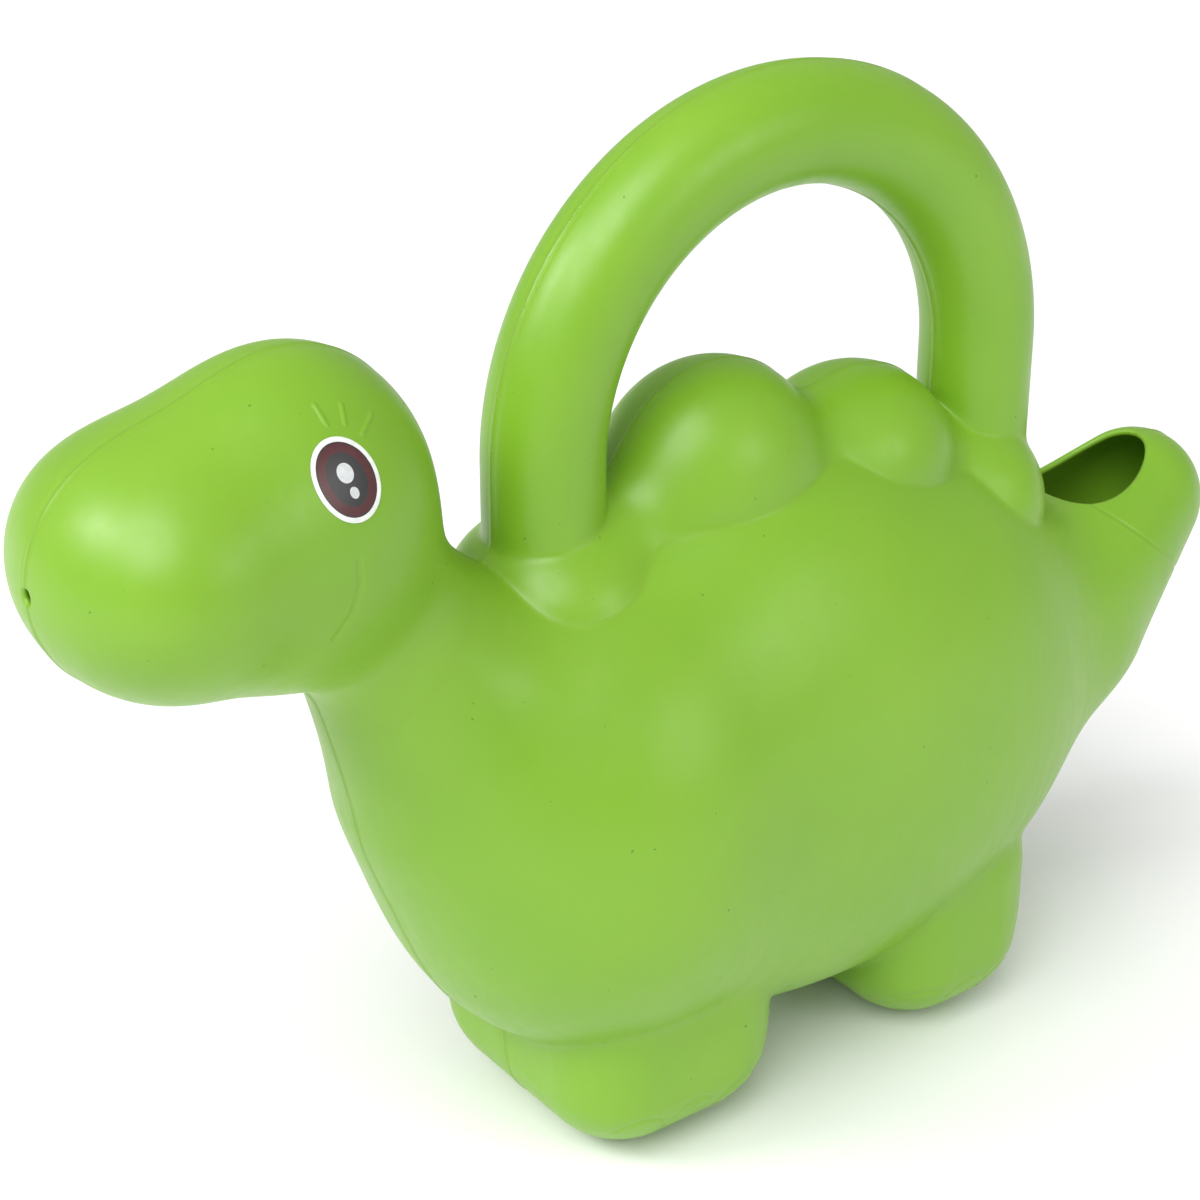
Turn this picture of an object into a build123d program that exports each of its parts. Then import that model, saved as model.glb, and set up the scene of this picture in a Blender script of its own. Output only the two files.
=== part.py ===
"""Dinosaur watering can: one hollow blow moulding with two printed eye labels.

+X runs from the tail to the snout, +Y to the animal's left and +Z up.
The origin lies on the ground, under the middle of the overall length.
The moulding is cut only where it shows a line: the mould's parting plane at
Y = 0, the insert line across the tail, the throat, and the creases round
the handle's feet, along the ridge of humps and round the two foot blocks' tops.
"""
from build123d import *
from math import atan2, cos, degrees, radians, sin
import os

# ---- driving dimensions, mm -------------------------------------------------
wall = 1.8                 # moulded wall
body_length = 258.0        # tail tip to throat
body_height = 163.0        # ground to the top of the back, without the humps
body_width = 108.0         # flank to flank
tail_tip_x = -163.3        # rearmost point of the tail

head_length = 91.0         # back of the head to the snout
head_height = 74.0
head_width = 66.0
head_back_x = 73.5
head_axis_z = 173.0

foot_height = 70.0         # ground to the block's top, buried in the belly
foot_corner = 20.0         # vertical corner radius
foot_edge = 17.0           # radius round the sole
front_foot_x = 26.0
front_foot_length = 60.0
front_foot_width = 76.0
rear_foot_x = -60.0
rear_foot_length = 51.0
rear_foot_width = 78.0

ridge_width = 41.0         # ridge of humps along the back
ridge_edge = 9.0           # radius along the ridge's two upper edges
ridge_root = 45.0          # depth of the ridge's hidden root under the back
handle_tube_d = 27.4
handle_span = 128.0        # between the centrelines of the two legs
handle_x = -21.0           # middle of the arch
handle_rise = 6.0          # arch centre above the back
handle_bury = 60.0         # length of leg below the arch centre, cut by the back

mouth_length = 41.0        # filling mouth in the tail, along X
mouth_width = 28.0
mouth_x = -126.5
insert_line_x = -127.0     # a point on the insert line across the tail
insert_line_z = 113.5
insert_line_fall = 40.0    # degrees that the line falls towards the rear
tail_root_x = -105.0       # the insert line stays behind this

pour_hole_d = 5.0
pour_hole_z = 172.0
throat_x = 101.5           # lower end of the cut across the neck
throat_z = 122.0
throat_rise = 47.0         # degrees that the cut rises towards the nape

label_height = 17.6        # printed eye label
label_width = 14.4
label_border = 1.1         # white rim
iris_border = 2.3          # coloured ring between rim and pupil
label_thickness = 0.3
eye_x = 107.5
eye_z = 191.5
eye_lean = 17.0            # degrees that the oval's top leans back
glint_large_d = 3.6
glint_small_d = 2.0
glint_large_up = 1.3
glint_small_down = 2.9

# ---- shape of the forms, as shares of the driving dimensions -----------------
# Each body section: x and z of its lowest and highest points, and half width,
# as shares of body_length from the tail tip, body_height and body_width.
body_tip = (0.0, 0.675)
body_sections = [
    ((0.019, 0.589), (0.045, 0.791), 0.139),
    ((0.068, 0.503), (0.134, 0.782), 0.204),
    ((0.130, 0.405), (0.203, 0.770), 0.264),
    ((0.196, 0.313), (0.250, 0.822), 0.310),
    ((0.281, 0.199), (0.308, 0.899), 0.384),
    ((0.397, 0.120), (0.409, 0.969), 0.450),
    ((0.545, 0.095), (0.545, 1.000), 0.485),
    ((0.676, 0.118), (0.669, 0.978), 0.496),
    ((0.793, 0.163), (0.754, 0.937), 0.496),
    ((0.886, 0.246), (0.812, 0.908), 0.446),
    ((0.948, 0.399), (0.847, 0.912), 0.350),
    ((0.990, 0.589), (0.870, 0.939), 0.262),
    ((1.019, 0.736), (0.893, 0.994), 0.222),
    ((1.048, 0.859), (0.928, 1.086), 0.185),
]
# Each head section: place along the head, its lowest and highest points from
# the head's axis, and half width, as shares of the head's own dimensions.
head_back = (0.0, 0.04)
head_snout = (1.0, -0.02)
head_sections = [
    (0.060, -0.284, 0.311, 0.242),
    (0.190, -0.446, 0.446, 0.394),
    (0.345, -0.493, 0.500, 0.455),
    (0.520, -0.453, 0.459, 0.477),
    (0.700, -0.399, 0.385, 0.500),
    (0.850, -0.318, 0.297, 0.432),
    (0.950, -0.203, 0.196, 0.273),
]
# Crest of the ridge from front to rear over its four humps: x and height over
# the back. The handle's legs stand on the first hump and the last.
ridge_crest = [
    (63.0, -36.0), (60.5, -19.0), (50.0, -8.5), (36.0, -5.5), (26.0, -2.0),
    (13.0, 11.0), (-3.0, 19.5), (-17.0, 12.5), (-28.0, 4.0), (-45.0, 9.0),
    (-59.0, 1.0), (-69.0, -12.5), (-84.0, -14.0), (-94.0, -20.5), (-99.0, -35.0),
    (-97.0, -50.0),
]

# ---- sizes that follow -------------------------------------------------------
tube_r = handle_tube_d / 2
arch_r = handle_span / 2
arch_z = body_height + handle_rise
reach = 2 * body_length    # longer than anything that a cutter passes through
iris_height = label_height - 2 * label_border
iris_width = label_width - 2 * label_border
pupil_height = iris_height - 2 * iris_border
pupil_width = iris_width - 2 * iris_border

os.makedirs("parts", exist_ok=True)


def body_point(share):
    """X and Z of a point given as shares of the body's length and height."""
    return tail_tip_x + share[0] * body_length, share[1] * body_height


def oval_section(low, high, half_width, inset):
    """Oval across the animal between a low and a high point, shrunk by inset."""
    (low_x, low_z), (high_x, high_z) = low, high
    half_height = Vector(high_x - low_x, high_z - low_z).length / 2 - inset
    lean = atan2(high_x - low_x, high_z - low_z)
    middle = Plane(
        origin=((low_x + high_x) / 2, 0, (low_z + high_z) / 2),
        x_dir=(0, 1, 0),
        z_dir=(cos(lean), 0, -sin(lean)),
    )
    with BuildSketch(middle) as section:
        with BuildLine():
            EllipticalCenterArc((0, 0), half_width - inset, half_height, 0, arc_size=180)
            EllipticalCenterArc((0, 0), half_width - inset, half_height, 180, arc_size=180)
        make_face()
    return section.sketch


def body_form(inset=0.0):
    """Body with tail and neck as one form, its surface moved inwards by inset."""
    tip_x, tip_z = body_point(body_tip)
    sections = [Vertex(tip_x + inset, 0, tip_z)]
    for low, high, half_width in body_sections:
        sections.append(
            oval_section(body_point(low), body_point(high), half_width * body_width, inset)
        )
    with BuildPart() as form:
        loft(sections)
    return form.part


def head_form(inset=0.0):
    """Head with its muzzle, its surface moved inwards by inset."""
    sections = [Vertex(head_back_x + inset, 0, head_axis_z + head_back[1] * head_height)]
    for along, low, high, half_width in head_sections:
        x = head_back_x + along * head_length
        bottom = (x, head_axis_z + low * head_height)
        top = (x, head_axis_z + high * head_height)
        sections.append(oval_section(bottom, top, half_width * head_width, inset))
    snout_z = head_axis_z + head_snout[1] * head_height
    sections.append(Vertex(head_back_x + head_length - inset, 0, snout_z))
    with BuildPart() as form:
        loft(sections)
    return form.part


def animal_form(inset=0.0):
    """Body and head together, without ridge, feet or handle."""
    with BuildPart() as form:
        add(body_form(inset))
        add(head_form(inset))
    return form.part


def crest_points(inset):
    """The ridge's crest points, each moved towards the body by inset."""
    points = [Vector(x, body_height + over_back) for x, over_back in ridge_crest]
    moved = []
    for index, point in enumerate(points):
        before, after = points[max(index - 1, 0)], points[min(index + 1, len(points) - 1)]
        rearwards = (after - before).normalized()
        moved.append(point + Vector(-rearwards.Y, rearwards.X) * inset)
    return moved


def ridge_form(inset=0.0):
    """Ridge of four humps, rounded along its upper edges, its root in the body."""
    crest = crest_points(inset)
    root_z = body_height - ridge_root - wall + inset
    with BuildPart() as form:
        with BuildSketch(Plane.XZ):
            with BuildLine():
                Spline(*crest)
                Polyline(crest[-1], (crest[-1].X + ridge_root, root_z), (0, root_z), crest[0])
            make_face()
        extrude(amount=ridge_width / 2 - inset, both=True)
        fillet(form.edges().filter_by(GeomType.BSPLINE), ridge_edge - inset)
    return form.part


def foot_block(x, length, width, inset=0.0):
    """One block of two merged feet, rounded at its corners and round its sole."""
    with BuildPart(Plane.XY.offset(inset)) as block:
        with BuildSketch(Plane.XY.offset(inset)):
            with Locations((x, 0)):
                RectangleRounded(length - 2 * inset, width - 2 * inset, foot_corner - inset)
        extrude(amount=foot_height - inset)
        fillet(block.faces().sort_by(Axis.Z)[0].edges(), foot_edge - inset)
    return block.part


def handle_form(inset=0.0):
    """Round arch on two straight legs that run down into the back."""
    with BuildPart() as form:
        arch_axis = Axis((handle_x, 0, arch_z), (0, -1, 0))
        with BuildSketch(Plane.XY.offset(arch_z)) as rod:
            with Locations((handle_x + arch_r, 0)):
                Circle(tube_r - inset)
        revolve(rod.sketch, axis=arch_axis, revolution_arc=180)
        with BuildSketch(Plane.XY.offset(arch_z)) as legs:
            with Locations((handle_x - arch_r, 0), (handle_x + arch_r, 0)):
                Circle(tube_r - inset)
        extrude(legs.sketch, amount=-handle_bury)
    return form.part


def slab(*outline):
    """Block across the whole animal over an outline of X and Z points."""
    with BuildPart() as block:
        with BuildSketch(Plane.XZ):
            with BuildLine():
                Polyline(*outline, close=True)
            make_face()
        extrude(amount=body_width, both=True)
    return block.part


def beyond(x, z, angle):
    """Everything above a sloping cut through x and z, angle degrees up from -X."""
    step_x, step_z = reach * cos(radians(angle)), reach * sin(radians(angle))
    return slab(
        (x + step_x, z - step_z),
        (x + step_x + reach, z - step_z + reach),
        (x - step_x + reach, z + step_z + reach),
        (x - step_x, z + step_z),
    )


def left_half(solid):
    """The part of a solid on the animal's left of the parting plane."""
    with BuildPart() as half:
        add(solid)
        split(bisect_by=Plane.XZ, keep=Keep.BOTTOM)
    return half.part


outer = left_half(animal_form())
inner = left_half(animal_form(wall))
ridge_outer = left_half(ridge_form())
ridge_inner = left_half(ridge_form(wall))

# ---- cutters -----------------------------------------------------------------
head_side = beyond(throat_x, throat_z, throat_rise)
insert_slope = sin(radians(insert_line_fall)) / cos(radians(insert_line_fall))


def insert_line_at(x):
    """Height of the insert line at a distance x along the animal."""
    return insert_line_z + (x - insert_line_x) * insert_slope


tail_side = slab(
    (tail_root_x, insert_line_at(tail_root_x)),
    (tail_root_x, reach),
    (tail_root_x - reach, reach),
    (tail_root_x - reach, insert_line_at(tail_root_x - reach)),
)
foot_sizes = {
    "front": (front_foot_x, front_foot_length, front_foot_width),
    "rear": (rear_foot_x, rear_foot_length, rear_foot_width),
}

# ---- the moulding, left half --------------------------------------------------
with BuildPart() as moulding:
    add(outer)
    add(inner, mode=Mode.SUBTRACT)
    for x, length, width in foot_sizes.values():
        add(foot_block(x, length, width, wall), mode=Mode.SUBTRACT)
    add(ridge_inner, mode=Mode.SUBTRACT)
    # filling mouth through the tail's upper wall
    with BuildSketch(Plane.XY.offset(insert_line_z)):
        with Locations((mouth_x, 0)):
            Ellipse(mouth_length / 2, mouth_width / 2)
    extrude(amount=body_height, mode=Mode.SUBTRACT)
    # pour hole drilled through the snout
    with BuildSketch(Plane.YZ.offset(head_back_x + head_length / 2)):
        with Locations((0, pour_hole_z)):
            Circle(pour_hole_d / 2)
    extrude(amount=head_length, mode=Mode.SUBTRACT)

with BuildPart() as head_shell_left:
    add(moulding)
    add(head_side, mode=Mode.INTERSECT)
head_shell_left.part.label = "head_shell_left"

with BuildPart() as tail_mouth_left:
    add(moulding)
    add(tail_side, mode=Mode.INTERSECT)
tail_mouth_left.part.label = "tail_mouth_left"

with BuildPart() as body_shell_left:
    add(moulding)
    add(head_side, mode=Mode.SUBTRACT)
    add(tail_side, mode=Mode.SUBTRACT)
body_shell_left.part.label = "body_shell_left"


def foot_shell(x, length, width):
    """Left half of a hollow foot block, open into the belly above it."""
    with BuildPart() as shell:
        add(foot_block(x, length, width))
        add(foot_block(x, length, width, wall), mode=Mode.SUBTRACT)
        add(outer, mode=Mode.SUBTRACT)
        split(bisect_by=Plane.XZ, keep=Keep.BOTTOM)
    return shell.part


with BuildPart() as front_feet_left:
    add(foot_shell(*foot_sizes["front"]))
front_feet_left.part.label = "front_feet_left"

with BuildPart() as rear_feet_left:
    add(foot_shell(*foot_sizes["rear"]))
rear_feet_left.part.label = "rear_feet_left"

with BuildPart() as ridge_left:
    add(ridge_outer)
    add(ridge_inner, mode=Mode.SUBTRACT)
    add(outer, mode=Mode.SUBTRACT)
    add(handle_form(wall), mode=Mode.SUBTRACT)
ridge_left.part.label = "ridge_left"

with BuildPart() as handle_left:
    add(handle_form())
    add(handle_form(wall), mode=Mode.SUBTRACT)
    split(bisect_by=Plane.XZ, keep=Keep.BOTTOM)
    add(outer, mode=Mode.SUBTRACT)
    add(ridge_outer, mode=Mode.SUBTRACT)
handle_left.part.label = "handle_left"

# ---- printed eye label, left --------------------------------------------------
sight_line = Axis((eye_x, 0, eye_z), (0, 1, 0))
eye_point, eye_normal = max(
    head_form().find_intersection_points(sight_line), key=lambda hit: hit[0].Y
)
across = Vector(0, 0, 1).cross(eye_normal)
eye_plane = Plane(origin=eye_point, x_dir=across, z_dir=eye_normal).rotated((0, 0, eye_lean))
label_reach = label_height / 2    # deeper than the head curves away under the label


def on_label(width, height, up=0.0):
    """Oval plug through the head's side, its middle moved up the label."""
    with BuildPart() as plug:
        with BuildSketch(eye_plane):
            with Locations((0, up)):
                Ellipse(width / 2, height / 2)
        extrude(amount=label_reach, both=True)
    return plug.part


def printed(plug, *cut_outs):
    """Thin layer on the head's surface inside a plug and outside its cut-outs."""
    with BuildPart() as layer:
        add(head_form(-label_thickness))
        add(plug, mode=Mode.INTERSECT)
        add(head_form(), mode=Mode.SUBTRACT)
        for cut_out in cut_outs:
            add(cut_out, mode=Mode.SUBTRACT)
    return layer.part


label_oval = on_label(label_width, label_height)
iris_oval = on_label(iris_width, iris_height)
pupil_oval = on_label(pupil_width, pupil_height)
glint_large = on_label(glint_large_d, glint_large_d, glint_large_up)
glint_small = on_label(glint_small_d, glint_small_d, -glint_small_down)

with BuildPart() as eye_label_left:
    add(printed(label_oval, iris_oval))
eye_label_left.part.label = "eye_label_left"

with BuildPart() as eye_iris_left:
    add(printed(iris_oval, pupil_oval))
eye_iris_left.part.label = "eye_iris_left"

with BuildPart() as eye_pupil_left:
    add(printed(pupil_oval, glint_large, glint_small))
eye_pupil_left.part.label = "eye_pupil_left"

with BuildPart() as eye_glints_left:
    add(printed(glint_large))
    add(printed(glint_small))
eye_glints_left.part.label = "eye_glints_left"

# ---- write the left pieces and their mirror images ----------------------------
left_pieces = [
    head_shell_left, body_shell_left, tail_mouth_left, front_feet_left, rear_feet_left,
    ridge_left, handle_left, eye_label_left, eye_iris_left, eye_pupil_left, eye_glints_left,
]
for left in left_pieces:
    export_step(left.part, f"parts/{left.part.label}.step")
    with BuildPart() as right:
        mirror(left.part, about=Plane.XZ)
    right.part.label = left.part.label.replace("_left", "_right")
    export_step(right.part, f"parts/{right.part.label}.step")
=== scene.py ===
"""Looks of the dinosaur watering can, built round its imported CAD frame.

The moulding is one smooth field of blended forms, in millimetres. Its surface is
meshed once, cut along the lines that the moulding shows, given its wall and
mirrored, so each CAD node has a finished mesh that meets its neighbours.
"""

import math

import bpy
import numpy as np
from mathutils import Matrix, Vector


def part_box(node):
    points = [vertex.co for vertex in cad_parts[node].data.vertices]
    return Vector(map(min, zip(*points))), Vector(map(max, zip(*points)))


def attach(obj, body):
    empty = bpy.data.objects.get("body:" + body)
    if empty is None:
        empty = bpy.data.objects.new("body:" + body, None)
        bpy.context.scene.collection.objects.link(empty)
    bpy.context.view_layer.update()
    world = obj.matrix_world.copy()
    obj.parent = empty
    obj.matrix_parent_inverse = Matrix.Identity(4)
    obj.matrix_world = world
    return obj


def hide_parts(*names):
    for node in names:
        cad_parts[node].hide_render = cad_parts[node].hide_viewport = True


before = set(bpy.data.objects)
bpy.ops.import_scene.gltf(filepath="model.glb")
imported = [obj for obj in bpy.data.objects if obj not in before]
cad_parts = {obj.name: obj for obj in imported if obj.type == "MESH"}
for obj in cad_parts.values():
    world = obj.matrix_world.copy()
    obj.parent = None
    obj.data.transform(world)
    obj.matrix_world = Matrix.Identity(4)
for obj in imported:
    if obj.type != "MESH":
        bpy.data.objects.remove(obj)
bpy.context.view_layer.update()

MM = 0.001
WALL = 1.8                  # moulded wall
CELL = 1.5                  # size of the mesh's cells on plain stretches
BELLY_FILLET = 40           # between the chest and the rump
BROW_FILLET = 34            # between the crown and the muzzle
NECK_FILLET, HEAD_FILLET, TAIL_FILLET = 28, 14, 24
BACK_FILLET = 12            # where the upper back runs into the flanks
FRONT_HUMP_FILLET = 10
HUMP_FILLET = 12            # in the saddles between the other humps
RIDGE_CREASE = 1.4          # nearly sharp, along the ridge
FOOT_CREASE = 3
HANDLE_CREASE = 2.2
TAIL_FRONT_X = -104         # no further forward does the tail's insert line run
TAIL_FLOOR_Z = 84


def box_mm(node):
    """Lowest and highest corner of a CAD node, in millimetres."""
    low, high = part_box(node)
    return np.array(low) / MM, np.array(high) / MM


# ---- places taken from the frame ---------------------------------------------
_, head_high = box_mm("head_shell_left")
_, body_high = box_mm("body_shell_left")
tail_low, _ = box_mm("tail_mouth_left")
handle_low, handle_high = box_mm("handle_left")
front_low, front_high = box_mm("front_feet_left")
rear_low, rear_high = box_mm("rear_feet_left")
_, ridge_high = box_mm("ridge_left")
eye_low, eye_high = box_mm("eye_label_left")

snout_x, crown_z = head_high[0], head_high[2]
tail_x = tail_low[0]
flank_y = body_high[1]
tube_r = handle_high[1]
arch_r = (handle_high[0] - handle_low[0]) / 2 - tube_r
arch_x = (handle_high[0] + handle_low[0]) / 2
arch_z = handle_high[2] - arch_r - tube_r
ridge_half = ridge_high[1]
ridge_top = ridge_high[2]
front_x = (front_low[0] + front_high[0]) / 2
rear_x = (rear_low[0] + rear_high[0]) / 2
eye_x, eye_z = (eye_low[0] + eye_high[0]) / 2, (eye_low[2] + eye_high[2]) / 2


# ---- distance fields, in millimetres -----------------------------------------
def ellipsoid(p, centre, radii, pitch=0.0):
    """Distance to an ellipsoid whose nose is tilted up by pitch degrees."""
    q = p - np.array(centre)
    if pitch:
        c, s = math.cos(math.radians(pitch)), math.sin(math.radians(pitch))
        q = np.stack([q[:, 0] * c + q[:, 2] * s, q[:, 1], q[:, 2] * c - q[:, 0] * s], 1)
    r = np.array(radii)
    near = np.linalg.norm(q / r, axis=1)
    return near * (near - 1) / (np.linalg.norm(q / r ** 2, axis=1) + 1e-9)


def blend(a, b, radius):
    """Union of two fields with a fillet of about that radius."""
    h = np.maximum(radius - np.abs(a - b), 0) / radius
    return np.minimum(a, b) - h ** 3 * radius / 6


def round_cone(p, start, end, r_start, r_end, squash=1.0):
    """Distance to the hull of two balls, its half width in Y times squash."""
    k = np.array([1, 1 / squash, 1])
    p, start, end = p * k, np.array(start) * k, np.array(end) * k
    along = end - start
    l2, dr = along @ along, r_start - r_end
    a2 = l2 - dr * dr
    q = p - start
    y = q @ along
    z = y - l2
    x2 = ((q * l2 - along * y[:, None]) ** 2).sum(1)
    d = (np.sqrt(x2 * a2 / l2) + y * dr) / l2 - r_start
    edge = np.sign(dr) * dr * dr * x2
    at_start, at_end = np.sign(y) * a2 * y * y * l2 < edge, np.sign(z) * a2 * z * z * l2 > edge
    d = np.where(at_start, np.sqrt(x2 + y * y * l2) / l2 - r_start, d)
    return np.where(at_end, np.sqrt(x2 + z * z * l2) / l2 - r_end, d)


def torso(p):
    """Chest, rump, neck, head and tail, flowing into each other."""
    chest = ellipsoid(p, (39.5, 0, 86), (43, flank_y - 1.2, 57.5), 3)
    rump = ellipsoid(p, (-24.5, 0, 86), (95, flank_y - 2.7, 71.5), 3)
    d = blend(chest, rump, BELLY_FILLET)
    back = ellipsoid(p, (-12, 0, 100), (64, flank_y - 8, 63.5))
    d = blend(d, back, BACK_FILLET)
    neck = round_cone(p, (63, 0, 104), (92.5, 0, 158), 30, 17.7, 1.06)
    d = blend(d, neck, NECK_FILLET)
    cranium = ellipsoid(p, (106, 0, crown_z - 36.5), (31, 29.3, 36.5))
    muzzle = ellipsoid(p, (snout_x - 25, 0, 172), (25.2, 32.7, 26))
    d = blend(d, blend(cranium, muzzle, BROW_FILLET), HEAD_FILLET)
    tail = round_cone(p, (-112.5, 0, 90.5), (tail_x + 19, 0, 111.5), 30, 18.8, 0.94)
    return blend(d, tail, TAIL_FILLET)


def ridge(p):
    """The ridge of four domed humps that run into each other."""
    d = ellipsoid(p, (-12, 0, 138.5), (73, ridge_half + 1.5, 27))
    d = blend(d, ellipsoid(p, (40, 0, 137), (24.5, ridge_half + 5, 20)), FRONT_HUMP_FILLET)
    d = blend(d, ellipsoid(p, (-3, 0, ridge_top - 27), (27.5, ridge_half + 3, 27)), HUMP_FILLET)
    d = blend(d, ellipsoid(p, (-46, 0, 149), (24, ridge_half + 2.5, 22.5)), HUMP_FILLET)
    return blend(d, ellipsoid(p, (-80, 0, 130), (21, ridge_half + 4, 22)), HUMP_FILLET)


def handle(p):
    """Round arch on two straight legs."""
    x, z = p[:, 0] - arch_x, p[:, 2] - arch_z
    ring = np.sqrt(x * x + np.maximum(z, 0) ** 2) - arch_r
    d = np.sqrt(ring ** 2 + p[:, 1] ** 2) - tube_r
    return np.maximum(d, -45 - z)


FOOT_MIDDLE_Z = 30.0        # half height of a foot block, most of it inside the belly
FOOT_TAPER = 4              # how far its sides draw in at the sole
FOOT_EDGE = 19              # radius of its edges
FEET_BELOW_Z = 70


def foot(p, x, low, high):
    """A block of two merged feet, narrower towards its sole."""
    half = np.array([(high[0] - low[0]) / 2, high[1], FOOT_MIDDLE_Z])
    q = np.abs(p - np.array([x, 0, FOOT_MIDDLE_Z]))
    below = np.maximum(FOOT_MIDDLE_Z - p[:, 2], 0)
    q[:, :2] += (FOOT_TAPER * below ** 2 / FOOT_MIDDLE_Z ** 2)[:, None]
    q = q - (half - FOOT_EDGE)
    return np.linalg.norm(np.maximum(q, 0), axis=1) + np.minimum(q.max(1), 0) - FOOT_EDGE


def front_foot(p):
    """The front pair of feet."""
    return foot(p, front_x, front_low, front_high)


def rear_foot(p):
    """The rear pair of feet."""
    return foot(p, rear_x, rear_low, rear_high)


def body(p):
    """Everything but the handle."""
    d = blend(torso(p), ridge(p), RIDGE_CREASE)
    d = blend(d, front_foot(p), FOOT_CREASE)
    return blend(d, rear_foot(p), FOOT_CREASE)


def form(p):
    """The whole moulding's outer surface, without its fine detail."""
    return blend(body(p), handle(p), HANDLE_CREASE)


# ---- fine detail: small heights on the outer surface --------------------------
def groove(distance, half_width, depth):
    """Smooth profile at zero distance, of that depth and half width."""
    t = np.clip(np.abs(distance) / half_width, 0, 1)
    return depth * (1 - t * t) ** 2


def to_segment(p, a, b):
    """Distance to the straight piece from a to b."""
    a, along = np.array(a), np.array(b) - np.array(a)
    t = np.clip((p - a) @ along / (along @ along), 0, 1)
    return np.linalg.norm(p - a - t[:, None] * along, axis=1)


INSERT_POINT = (-127.0, 113.5)        # x and z on the insert line across the tail
INSERT_SLOPE = math.tan(math.radians(40))
LASHES = [                            # base and tip of each moulded eyelash
    ((eye_x + 0.5, eye_z + 9.5), (eye_x + 1.0, eye_z + 12.5)),
    ((eye_x - 3.5, eye_z + 9), (eye_x - 4.5, eye_z + 11.5)),
    ((eye_x - 6.5, eye_z + 6.5), (eye_x - 10.5, eye_z + 8.5)),
]
SMILE = [(eye_x + 0.5, 175), (eye_x + 0.5, 170), (eye_x + 2, 164.5), (eye_x + 5.5, 159.5)]


def insert_line(p):
    """Height over the insert line's plane, which falls towards the rear."""
    return (p[:, 2] - INSERT_POINT[1] - (p[:, 0] - INSERT_POINT[0]) * INSERT_SLOPE) * math.cos(
        math.atan(INSERT_SLOPE)
    )


def polyline_xz(p, points):
    """Distance in side view to a line through points, on the animal's flanks."""
    flat = p * np.array([1, 0, 1])
    pieces = [
        to_segment(flat, (a[0], 0, a[1]), (b[0], 0, b[1])) for a, b in zip(points, points[1:])
    ]
    return np.min(pieces, axis=0)


def detail(p):
    """Height of the moulded detail over the plain form."""
    y = np.abs(p[:, 1])
    h = groove(p[:, 1], 0.5, 0.22)                       # flash on the parting line
    h = h - groove(y - 1.3, 0.6, 0.06)                   # faint step beside it
    at_tail = (p[:, 0] < TAIL_FRONT_X) & (p[:, 2] > TAIL_FLOOR_Z)
    h = h - np.where(at_tail, groove(insert_line(p), 0.8, 0.16), 0)
    side = np.clip((y - 8) / 6, 0, 1)
    for base, tip in LASHES:
        h = h + groove(polyline_xz(p, [base, tip]), 0.75, 0.22) * side
    h = h - groove(polyline_xz(p, SMILE), 1.4, 0.18) * side
    at_foot = np.clip((y - 26) / 6, 0, 1) * (p[:, 2] < 30)
    for x, low in ((front_x, front_low), (rear_x, rear_low)):
        for step in (-0.62, 0.0, 0.62):
            centre = x + step * (x - low[0]) * 0.8
            toe = np.hypot(p[:, 0] - centre, p[:, 2] - 9) - 7.0
            h = h - groove(toe, 1.0, 0.22) * at_foot * (p[:, 2] > 9)
    return h


def surface(p):
    """The outer surface with its detail."""
    return form(p) - detail(p)


def gradient(field, p, step=0.05):
    """Unit outward direction of a field at points p."""
    g = np.empty_like(p)
    for axis in range(3):
        shift = np.zeros(3)
        shift[axis] = step
        g[:, axis] = field(p + shift) - field(p - shift)
    return g / (np.linalg.norm(g, axis=1, keepdims=True) + 1e-12)


def settle(field, p, rounds=4):
    """Points moved onto a field's zero surface."""
    for _ in range(rounds):
        p = p - gradient(field, p) * field(p)[:, None]
    return p


# ---- meshing -----------------------------------------------------------------
def surface_net(field, low, high, cell):
    """Closed mesh of a field's zero surface: (points, triangles)."""
    axes = [np.arange(a, b + cell, cell) for a, b in zip(low, high)]
    shape = [len(a) for a in axes]
    values = np.empty(shape)
    for i, x in enumerate(axes[0]):
        y, z = np.meshgrid(axes[1], axes[2], indexing="ij")
        values[i] = field(np.stack([np.full(y.size, x), y.ravel(), z.ravel()], 1)).reshape(y.shape)
    inside = values < 0
    count = sum(
        inside[i:shape[0] - 1 + i, j:shape[1] - 1 + j, k:shape[2] - 1 + k].astype(np.int8)
        for i in (0, 1) for j in (0, 1) for k in (0, 1)
    )
    active = (count > 0) & (count < 8)
    number = np.full(active.shape, -1)
    number[active] = np.arange(active.sum())
    corner = np.argwhere(active)
    points = np.array(low) + (corner + 0.5) * cell
    quads = []
    for axis in range(3):
        b, c = (axis + 1) % 3, (axis + 2) % 3
        here = [slice(0, -1)] * 3
        there = [slice(0, -1)] * 3
        here[b] = here[c] = there[b] = there[c] = slice(1, -1)
        there[axis] = slice(1, None)
        start, end = inside[tuple(here)], inside[tuple(there)]
        at = np.argwhere(start != end)
        at[:, b] += 1
        at[:, c] += 1
        outwards = inside[tuple(at.T)]
        ring = []
        for db, dc in ((1, 1), (0, 1), (0, 0), (1, 0)):
            cell_at = at.copy()
            cell_at[:, b] -= db
            cell_at[:, c] -= dc
            ring.append(number[tuple(cell_at.T)])
        ring = np.stack(ring, 1)
        ring[~outwards] = ring[~outwards][:, ::-1]
        quads.append(ring)
    quads = np.concatenate(quads)
    quads = quads[(quads >= 0).all(1)]
    points = settle(field, points, 3)
    for _ in range(4):
        points = settle(field, relax(points, quads), 2)
    return points, np.concatenate([quads[:, [0, 1, 2]], quads[:, [0, 2, 3]]])


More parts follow.
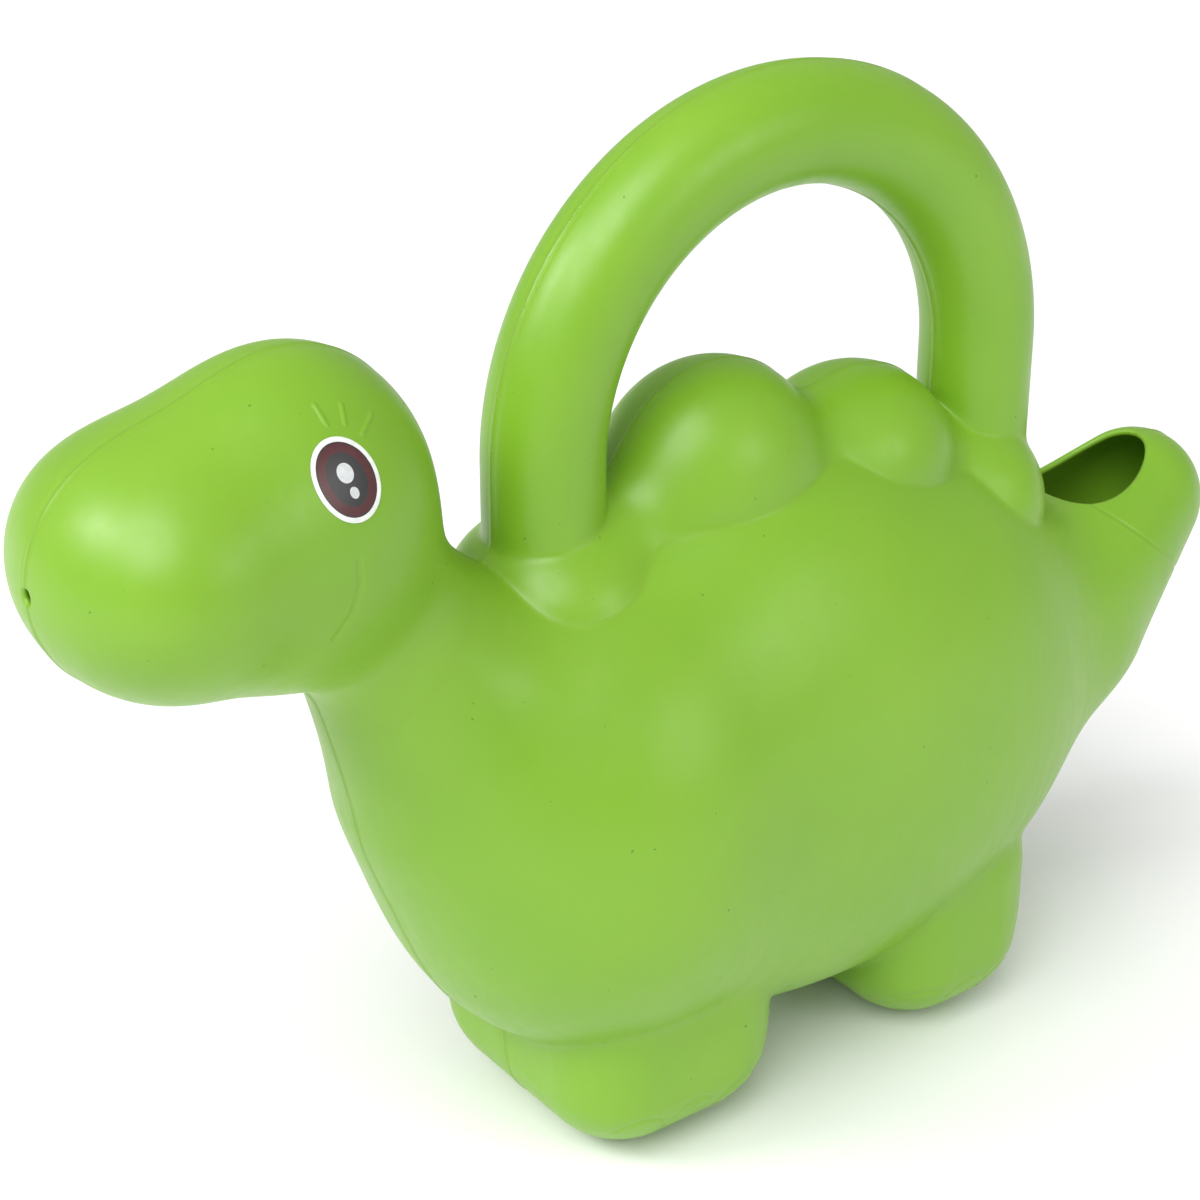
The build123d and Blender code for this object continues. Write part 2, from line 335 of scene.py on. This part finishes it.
def relax(points, faces):
    """Points moved halfway to the mean of their neighbours."""
    total, count = np.zeros_like(points), np.zeros(len(points))
    for i in range(faces.shape[1]):
        a, b = faces[:, i], faces[:, (i + 1) % faces.shape[1]]
        for here, there in ((a, b), (b, a)):
            np.add.at(total, here, points[there])
            np.add.at(count, here, 1)
    return points * 0.5 + total / np.maximum(count, 1)[:, None] * 0.5


def edges_of(triangles):
    """Unique edges, and for each triangle the numbers of its three edges."""
    pairs = np.concatenate([triangles[:, [0, 1]], triangles[:, [1, 2]], triangles[:, [2, 0]]])
    unique, index = np.unique(np.sort(pairs, 1), axis=0, return_inverse=True)
    return unique, index.reshape(3, -1).T


def split(points, triangles, edges, of_triangle, where):
    """Splits each edge at its share in where, or not at all where that is nan."""
    cut = ~np.isnan(where)
    number = np.full(len(edges), -1)
    number[cut] = len(points) + np.arange(cut.sum())
    a, b = edges[cut, 0], edges[cut, 1]
    added = points[a] + (points[b] - points[a]) * where[cut][:, None]
    middle = number[of_triangle]
    done = [triangles[(middle < 0).all(1)]]
    for turn in range(3):
        t, m = np.roll(triangles, -turn, 1), np.roll(middle, -turn, 1)
        one = (m[:, 0] >= 0) & (m[:, 1] < 0) & (m[:, 2] < 0)
        t1, m1 = t[one], m[one]
        done += [np.stack([t1[:, 0], m1[:, 0], t1[:, 2]], 1)]
        done += [np.stack([m1[:, 0], t1[:, 1], t1[:, 2]], 1)]
        two = (m[:, 0] >= 0) & (m[:, 1] >= 0) & (m[:, 2] < 0)
        t2, m2 = t[two], m[two]
        done += [np.stack([m2[:, 0], t2[:, 1], m2[:, 1]], 1)]
        done += [np.stack([t2[:, 0], m2[:, 0], m2[:, 1]], 1)]
        done += [np.stack([t2[:, 0], m2[:, 1], t2[:, 2]], 1)]
    t, m = triangles[(middle >= 0).all(1)], middle[(middle >= 0).all(1)]
    for i in range(3):
        done += [np.stack([t[:, i], m[:, i], m[:, (i + 2) % 3]], 1)]
    done += [m]
    return np.concatenate([points, added]), np.concatenate(done)


def refine(points, triangles, wanted):
    """Splits the edges of the wanted triangles in half and settles them."""
    edges, of_triangle = edges_of(triangles)
    where = np.full(len(edges), np.nan)
    where[np.unique(of_triangle[wanted])] = 0.5
    old = len(points)
    points, triangles = split(points, triangles, edges, of_triangle, where)
    points[old:] = settle(form, points[old:], 2)
    return points, triangles


def score(points, triangles, line, snap=0.3):
    """Puts a row of edges along a line, where the field line is zero."""
    value = line(points)
    near = np.abs(value) < snap
    q = points[near]
    for _ in range(3):
        step = gradient(line, q) * line(q)[:, None]
        normal = gradient(form, q)
        q = settle(form, q - (step - normal * (step * normal).sum(1, keepdims=True)), 1)
    points = points.copy()
    points[near] = q
    value = line(points)
    value[near] = 0
    edges, of_triangle = edges_of(triangles)
    a, b = value[edges[:, 0]], value[edges[:, 1]]
    where = np.where(a * b < 0, a / (a - b + 1e-12), np.nan)
    return split(points, triangles, edges, of_triangle, where)


# ---- lines that cut the moulding ----------------------------------------------
MOUTH = (-126.5, 19.5, 13.0)          # x of the filling mouth, half length, half width
POUR_Z, POUR_R = 172.0, 2.5
THROAT = (101.5, 122.0)               # x and z of the lower end of the throat's cut
THROAT_RISE = math.radians(47)


def parting(p):
    """Distance to the left of the parting plane."""
    return p[:, 1]


def throat(p):
    """Distance beyond the sloping cut across the neck, towards the head."""
    x, z = p[:, 0] - THROAT[0], p[:, 2] - THROAT[1]
    return x * math.sin(THROAT_RISE) + z * math.cos(THROAT_RISE)


def mouth(p):
    """Distance outside the filling mouth's oval, near the tail's upper wall."""
    x, half_length, half_width = MOUTH
    oval = np.hypot((p[:, 0] - x) / half_length, p[:, 1] / half_width)
    return np.where((p[:, 2] > 112) & (p[:, 0] < -100), (oval - 1) * half_width, 10.0)


def pour(p):
    """Distance outside the pour hole, near the snout."""
    return np.where(p[:, 0] > snout_x - 12, np.hypot(p[:, 1], p[:, 2] - POUR_Z) - POUR_R, 10.0)


def handle_crease(p):
    """Below zero on the handle's side of the crease round its feet."""
    return handle(p) - body(p)


def ridge_crease(p):
    """Below zero on the humps' side of the crease along them."""
    return ridge(p) - torso(p)


def front_crease(p):
    """Below zero on the front feet's side of the crease over them."""
    return front_foot(p) - torso(p)


def rear_crease(p):
    """Below zero on the rear feet's side of the crease over them."""
    return rear_foot(p) - torso(p)


LINES = [throat, insert_line, handle_crease, ridge_crease, front_crease, rear_crease, mouth, pour]


def needs_detail(p, reach):
    """Where the surface has an edge or fine detail within reach."""
    tail = p[:, 0] < -100
    near = np.abs(p[:, 1]) < reach
    near |= (np.abs(handle_crease(p)) < reach) & (handle(p) < 3 + reach)
    near |= (np.abs(ridge_crease(p)) < reach) & (np.abs(torso(p)) < 3 + reach)
    near |= (np.abs(mouth(p)) < reach) | (pour(p) < reach)
    near |= tail & (p[:, 2] > TAIL_FLOOR_Z) & (np.abs(insert_line(p)) < reach)
    for base, tip in LASHES:
        near |= polyline_xz(p, [base, tip]) < reach
    near |= polyline_xz(p, SMILE) < reach
    return near | ((detail(p) < -0.02) & (p[:, 2] < 30))


def left_surface():
    """The left half's outer surface, scored along every line: (points, triangles)."""
    low = (tail_x - 6, -3.0, -4.0)
    high = (snout_x + 6, flank_y + 6, handle_high[2] + 6)
    points, triangles = surface_net(form, low, high, CELL)
    for reach in (3.0, 1.4):
        wanted = needs_detail(points[triangles].mean(1), reach)
        points, triangles = refine(points, triangles, wanted)
    points, triangles = score(points, triangles, parting)
    triangles = triangles[points[triangles].mean(1)[:, 1] > 0]
    for line in LINES:
        points, triangles = score(points, triangles, line, 0.15)
    return points, triangles


def left_pieces(points, triangles):
    """Name of each node and its own triangles of the left surface."""
    c = points[triangles].mean(1)
    left = (mouth(c) >= 0) & (pour(c) >= 0)
    taken = {}
    for name, mask in (
        ("handle", handle_crease(c) < 0),
        ("front_feet", (front_crease(c) < 0) & (c[:, 2] < FEET_BELOW_Z)),
        ("rear_feet", (rear_crease(c) < 0) & (c[:, 2] < FEET_BELOW_Z)),
        ("ridge", ridge_crease(c) < 0),
        ("head_shell", throat(c) > 0),
        ("tail_mouth", (insert_line(c) > 0) & (c[:, 0] < TAIL_FRONT_X)),
        ("body_shell", left),
    ):
        taken[name] = triangles[mask & left]
        left = left & ~mask
    return taken


RIM_STEPS = 5                         # segments from the outer to the inner surface
ON_LINE = 0.2                         # rim points this near a hole's line get a lip


def thicken(points, triangles):
    """Closed wall on a patch of the outer surface: (points, triangles, normals)."""
    used, index = np.unique(triangles, return_inverse=True)
    plain, t = points[used], index.reshape(-1, 3)
    n = len(plain)
    outer = settle(surface, plain, 2)
    out_normal = gradient(surface, outer)
    wall_normal = gradient(form, plain)
    inner = plain - wall_normal * WALL
    pairs = np.concatenate([t[:, [0, 1]], t[:, [1, 2]], t[:, [2, 0]]])
    key = pairs[:, 0] * n + pairs[:, 1]
    rim = pairs[~np.isin(key, pairs[:, 1] * n + pairs[:, 0])]
    on_rim = np.unique(rim)
    slot = np.full(n, -1)
    slot[on_rim] = np.arange(len(on_rim))
    q = plain[on_rim]
    lip = (np.abs(mouth(q)) < ON_LINE) | (np.abs(pour(q)) < ON_LINE)
    towards = -np.where((q[:, :1] < 0), gradient(mouth, q), gradient(pour, q))
    normal = wall_normal[on_rim]
    towards = towards - normal * (towards * normal).sum(1, keepdims=True)
    towards = towards / (np.linalg.norm(towards, axis=1, keepdims=True) + 1e-9)
    middle, half = (outer[on_rim] + inner[on_rim]) / 2, (outer[on_rim] - inner[on_rim]) / 2
    rings, ring_normals = [], []
    for step in range(1, RIM_STEPS):
        turn = math.pi * step / RIM_STEPS
        bulge = math.sin(turn) * WALL / 2 * lip[:, None]
        rings.append(middle + half * math.cos(turn) + towards * bulge)
        ring_normals.append(normal * math.cos(turn) + towards * math.sin(turn))
    faces = [t, t[:, ::-1] + n]
    layers = [rim] + [slot[rim] + 2 * n + i * len(on_rim) for i in range(RIM_STEPS - 1)]
    layers.append(rim + n)
    for upper, lower in zip(layers, layers[1:]):
        faces.append(np.stack([upper[:, 1], upper[:, 0], lower[:, 0]], 1))
        faces.append(np.stack([upper[:, 1], lower[:, 0], lower[:, 1]], 1))
    return (
        np.concatenate([outer, inner] + rings),
        np.concatenate(faces),
        np.concatenate([out_normal, -wall_normal] + ring_normals),
    )


def add_mesh(name, points, triangles, normals, material):
    """Object of a triangle mesh given in millimetres, with its shading normals."""
    mesh = bpy.data.meshes.new(name)
    mesh.vertices.add(len(points))
    mesh.vertices.foreach_set("co", (points * MM).astype(np.float32).ravel())
    mesh.loops.add(triangles.size)
    mesh.loops.foreach_set("vertex_index", triangles.astype(np.int32).ravel())
    mesh.polygons.add(len(triangles))
    mesh.polygons.foreach_set("loop_start", np.arange(0, triangles.size, 3, dtype=np.int32))
    mesh.update(calc_edges=True)
    mesh.validate()
    mesh.polygons.foreach_set("use_smooth", np.ones(len(mesh.polygons), bool))
    mesh.normals_split_custom_set_from_vertices(normals.astype(np.float32))
    obj = bpy.data.objects.new(name, mesh)
    bpy.context.scene.collection.objects.link(obj)
    mesh.materials.append(material)
    return obj


def add_pair(name, points, triangles, normals, material, slot):
    """A left piece and its mirror image, standing for the CAD nodes of that name."""
    for side, sign in (("left", 1), ("right", -1)):
        flip = np.array([1, sign, 1])
        order = [0, 1, 2] if sign > 0 else [2, 1, 0]
        obj = add_mesh(
            f"{name}_{side}_visual", points * flip, triangles[:, order], normals * flip, material
        )
        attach(obj, "root")
        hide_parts(f"{name}_{side}")


# ---- materials -----------------------------------------------------------------
def new_material(name):
    """Empty node material: (material, nodes, links, its Principled shader)."""
    material = bpy.data.materials.new(name)
    material.use_nodes = True
    nodes, links = material.node_tree.nodes, material.node_tree.links
    return material, nodes, links, nodes["Principled BSDF"]


def noise(nodes, links, scale, detail_steps, rough, vector):
    """Noise over the object's own coordinates."""
    node = nodes.new("ShaderNodeTexNoise")
    node.inputs["Scale"].default_value = scale
    node.inputs["Detail"].default_value = detail_steps
    node.inputs["Roughness"].default_value = rough
    links.new(vector, node.inputs["Vector"])
    return node.outputs["Fac"]


def ramp(nodes, links, value, stops):
    """Colour ramp through (place, colour) stops."""
    node = nodes.new("ShaderNodeValToRGB")
    elements = node.color_ramp.elements
    while len(elements) < len(stops):
        elements.new(0.5)
    for element, (place, colour) in zip(elements, stops):
        element.position, element.color = place, (*colour, 1)
    links.new(value, node.inputs["Fac"])
    return node.outputs["Color"]


def darken(nodes, links, share, colour, dark):
    """A colour that turns into a fixed dark one by a share."""
    node = nodes.new("ShaderNodeMix")
    node.data_type = "RGBA"
    links.new(share, node.inputs[0])
    links.new(colour, node.inputs[6])
    node.inputs[7].default_value = (*dark, 1)
    return node.outputs[2]


def map_range(nodes, links, value, from_low, from_high, to_low, to_high):
    """A value stretched from one range to another."""
    node = nodes.new("ShaderNodeMapRange")
    for place, number in enumerate((from_low, from_high, to_low, to_high), 1):
        node.inputs[place].default_value = number
    links.new(value, node.inputs[0])
    return node.outputs[0]


GREEN = (0.195, 0.405, 0.020)


def green_plastic():
    """Blow-moulded polyethylene: satin, with uneven tone, flow marks and a few specks."""
    material, nodes, links, shader = new_material("green_polyethylene")
    place = nodes.new("ShaderNodeTexCoord").outputs["Object"]
    stretched = nodes.new("ShaderNodeMapping")
    stretched.inputs["Scale"].default_value = (1.0, 1.0, 0.25)
    links.new(place, stretched.inputs["Vector"])
    cloud = noise(nodes, links, 18, 3, 0.5, place)
    flow = noise(nodes, links, 260, 4, 0.6, stretched.outputs["Vector"])
    speck = noise(nodes, links, 620, 1, 0.4, place)
    tone = ramp(nodes, links, cloud, [
        (0.3, (GREEN[0] * 0.92, GREEN[1] * 0.95, GREEN[2] * 0.9)),
        (0.7, (GREEN[0] * 1.08, GREEN[1] * 1.04, GREEN[2] * 1.15)),
    ])
    specks = ramp(nodes, links, speck, [(0.80, (0, 0, 0)), (0.83, (1, 1, 1))])
    dark = (GREEN[0] * 0.45, GREEN[1] * 0.5, GREEN[2] * 0.5)
    colour = darken(nodes, links, specks, tone, dark)
    links.new(colour, shader.inputs["Base Color"])
    links.new(map_range(nodes, links, flow, 0.3, 0.7, 0.33, 0.43), shader.inputs["Roughness"])
    bump = nodes.new("ShaderNodeBump")
    bump.inputs["Strength"].default_value = 0.10
    bump.inputs["Distance"].default_value = 0.0004
    links.new(flow, bump.inputs["Height"])
    links.new(bump.outputs["Normal"], shader.inputs["Normal"])
    shader.inputs["IOR"].default_value = 1.5
    shader.inputs["Specular IOR Level"].default_value = 0.5
    shader.inputs["Subsurface Weight"].default_value = 0.18
    shader.inputs["Subsurface Radius"].default_value = (0.6, 1.0, 0.2)
    shader.inputs["Subsurface Scale"].default_value = 0.004
    return material


def print_film(name, colour, roughness):
    """Printed label film: a little uneven in tone and gloss, under a clear coat."""
    material, nodes, links, shader = new_material(name)
    place = nodes.new("ShaderNodeTexCoord").outputs["Object"]
    grain = noise(nodes, links, 900, 3, 0.6, place)
    darker, lighter = tuple(c * 0.88 for c in colour), tuple(min(c * 1.1, 1) for c in colour)
    shades = [(0.3, darker), (0.7, lighter)]
    links.new(ramp(nodes, links, grain, shades), shader.inputs["Base Color"])
    gloss = map_range(nodes, links, grain, 0.3, 0.7, roughness - 0.04, roughness + 0.06)
    links.new(gloss, shader.inputs["Roughness"])
    bump = nodes.new("ShaderNodeBump")
    bump.inputs["Strength"].default_value = 0.05
    bump.inputs["Distance"].default_value = 0.0001
    links.new(grain, bump.inputs["Height"])
    links.new(bump.outputs["Normal"], shader.inputs["Normal"])
    shader.inputs["Coat Weight"].default_value = 0.3
    shader.inputs["Coat Roughness"].default_value = 0.25
    return material


# ---- eye labels ------------------------------------------------------------------
LABEL = (7.2, 8.8)                    # half width and half height of the whole oval
LINE = (6.25, 7.75)                   # outside of the thin dark line
IRIS = (5.95, 7.45)
PUPIL = (4.2, 5.6)
GLINTS = [((0.2, 1.3), (1.8, 2.05)), ((-0.2, -2.9), (1.0, 1.2))]
EYE_LEAN = math.radians(17)           # the oval's top leans back
SPOKES = 96


def eye_place():
    """The label's centre on the left of the head, and its forward, upward, outward axes."""
    p = np.array([[eye_x, head_high[1] + 10, eye_z]])
    for _ in range(60):
        p[:, 1] -= form(p) * 0.9
    out = gradient(form, p)[0]
    forward = np.cross([0, 0, 1.0], out)
    forward /= np.linalg.norm(forward)
    up = np.cross(out, forward)
    c, s = math.cos(EYE_LEAN), math.sin(EYE_LEAN)
    return p[0], forward * c + up * s, up * c - forward * s, out


def on_head(flat, out):
    """Points moved along out onto the moulding's surface."""
    p = flat.copy()
    for _ in range(30):
        p -= form(p)[:, None] * out * 0.8
    return p


def oval_layer(inside, outside, raise_low, raise_high, middle=(0, 0)):
    """Thin ring, or disc if inside is None, between two ovals on the eye's place."""
    centre, forward, up, out = EYE
    angle = np.linspace(0, 2 * math.pi, SPOKES, endpoint=False)
    rings = 6 if inside is None else 3
    flat = []
    for ring in range(rings + 1):
        share = ring / rings
        inner = (0, 0) if inside is None else inside
        a = inner[0] + (outside[0] - inner[0]) * share
        b = inner[1] + (outside[1] - inner[1]) * share
        x, z = middle[0] + a * np.cos(angle), middle[1] + b * np.sin(angle)
        flat.append(centre + x[:, None] * forward + z[:, None] * up)
    flat = np.concatenate(flat)
    base = on_head(flat, out)
    normal = gradient(form, base)
    n = len(base)
    points = np.concatenate([base + normal * raise_high, base + normal * raise_low])
    normals = np.concatenate([normal, -normal])
    here = np.arange(SPOKES)
    after = (here + 1) % SPOKES
    faces = []
    for ring in range(rings):
        i, o = ring * SPOKES, (ring + 1) * SPOKES
        for a, b, c in ((i + here, o + here, o + after), (i + here, o + after, i + after)):
            faces.append(np.stack([a, b, c], 1))
            faces.append(np.stack([c, b, a], 1) + n)
    borders = [(rings * SPOKES, 1)] if inside is None else [(rings * SPOKES, 1), (0, -1)]
    for start, turn in borders:
        a, b = start + here, start + after
        wall = [np.stack([a, a + n, b + n], 1), np.stack([a, b + n, b], 1)]
        faces += [w if turn > 0 else w[:, ::-1] for w in wall]
    return weld(points, np.concatenate(faces), normals)


def weld(points, triangles, normals):
    """Joins points that coincide and drops triangles that vanish."""
    key = np.round(points, 5)
    _, first, index = np.unique(key, axis=0, return_index=True, return_inverse=True)
    t = index.reshape(-1)[triangles]
    good = (t[:, 0] != t[:, 1]) & (t[:, 1] != t[:, 2]) & (t[:, 2] != t[:, 0])
    return points[first], t[good], normals[first]


def join_layers(layers):
    """Several closed layers as one mesh."""
    points, triangles, normals, start = [], [], [], 0
    for layer_points, layer_triangles, layer_normals in layers:
        points.append(layer_points)
        triangles.append(layer_triangles + start)
        normals.append(layer_normals)
        start += len(layer_points)
    return np.concatenate(points), np.concatenate(triangles), np.concatenate(normals)


EYE = eye_place()

# ---- build the object --------------------------------------------------------------
green = green_plastic()
skin_points, skin_triangles = left_surface()
for node, patch in left_pieces(skin_points, skin_triangles).items():
    add_pair(node, *thicken(skin_points, patch), green, "green_moulding")

white = print_film("label_white", (0.80, 0.83, 0.78), 0.35)
ink_line = print_film("label_black", (0.022, 0.021, 0.021), 0.38)
maroon = print_film("label_maroon", (0.075, 0.012, 0.014), 0.36)
glint = print_film("label_glint", (0.60, 0.62, 0.62), 0.35)
BED, TOP = -0.08, 0.14                # the film's lower and upper faces
add_pair("eye_label", *oval_layer(LINE, LABEL, BED, TOP), white, "label_white")
add_pair("eye_iris", *oval_layer(PUPIL, IRIS, BED, TOP), maroon, "label_maroon")
add_pair("eye_pupil", *oval_layer(None, PUPIL, BED, TOP), ink_line, "label_black")
spots = [oval_layer(None, size, TOP - 0.04, TOP + 0.03, middle) for middle, size in GLINTS]
add_pair("eye_glints", *join_layers(spots), glint, "label_glint")
line_points, line_triangles, line_normals = oval_layer(IRIS, LINE, BED, TOP)
for side, sign in (("left", 1), ("right", -1)):
    turned = np.array([1, sign, 1])
    order = [0, 1, 2] if sign > 0 else [2, 1, 0]
    outline = add_mesh(
        f"eye_outline_{side}", line_points * turned, line_triangles[:, order],
        line_normals * turned, ink_line,
    )
    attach(outline, "root")


# ---- floor, light and camera ---------------------------------------------------------
def add_floor():
    """Pale sweep that the can stands on."""
    bpy.ops.mesh.primitive_plane_add(size=6, location=(0, 0, -0.0004))
    floor = bpy.context.object
    floor.name = "floor"
    material, _, _, shader = new_material("floor_white")
    shader.inputs["Base Color"].default_value = (0.94, 0.94, 0.94, 1)
    shader.inputs["Roughness"].default_value = 0.7
    floor.data.materials.append(material)


LIGHT_AIM = (0.0, 0.0, 0.12)          # middle of the can


def add_softbox(name, direction, distance, size, power):
    """Square soft light that shines at the can from a direction."""
    light = bpy.data.lights.new(name, "AREA")
    light.shape, light.size, light.energy = "SQUARE", size, power
    obj = bpy.data.objects.new(name, light)
    bpy.context.scene.collection.objects.link(obj)
    towards = Vector(direction).normalized()
    obj.location = Vector(LIGHT_AIM) + towards * distance
    obj.rotation_euler = towards.to_track_quat("Z", "Y").to_euler()


def add_skylight(direction, strength, spread):
    """Soft light that is even over the whole floor."""
    light = bpy.data.lights.new("skylight", "SUN")
    light.energy, light.angle = strength, math.radians(spread)
    obj = bpy.data.objects.new("skylight", light)
    bpy.context.scene.collection.objects.link(obj)
    obj.rotation_euler = Vector(direction).to_track_quat("Z", "Y").to_euler()


def add_world():
    """Even white surroundings."""
    world = bpy.data.worlds.new("studio")
    bpy.context.scene.world = world
    world.use_nodes = True
    background = world.node_tree.nodes["Background"]
    background.inputs["Color"].default_value = (1, 1, 1, 1)
    background.inputs["Strength"].default_value = 0.45


VIEW_TURN = math.radians(36.5)        # of the camera, from the left side towards the front
VIEW_RISE = math.radians(26.0)
VIEW_DISTANCE = 0.607
VIEW_AIM = (0.0277, 0.0, 0.1318)
LENS = 81.0                           # mm on a 36 mm sensor


def add_camera():
    """Camera at the front left, a little above the animal."""
    camera = bpy.data.cameras.new("camera")
    camera.lens, camera.sensor_width = LENS, 36.0
    camera.clip_start = 0.01
    obj = bpy.data.objects.new("camera", camera)
    bpy.context.scene.collection.objects.link(obj)
    back = Vector((
        math.sin(VIEW_TURN) * math.cos(VIEW_RISE),
        math.cos(VIEW_TURN) * math.cos(VIEW_RISE),
        math.sin(VIEW_RISE),
    ))
    obj.location = Vector(VIEW_AIM) + back * VIEW_DISTANCE
    obj.rotation_euler = back.to_track_quat("Z", "Y").to_euler()
    bpy.context.scene.camera = obj


add_floor()
add_world()
add_skylight((0.62, 0.36, 0.9), 2.45, 45)
add_softbox("front", (0.733, -0.22, 0.609), 1.5, 0.5, 8)
add_softbox("side", (-0.31, 0.85, 0.40), 1.4, 0.6, 3)
add_camera()
bpy.context.scene.view_settings.view_transform = "Standard"
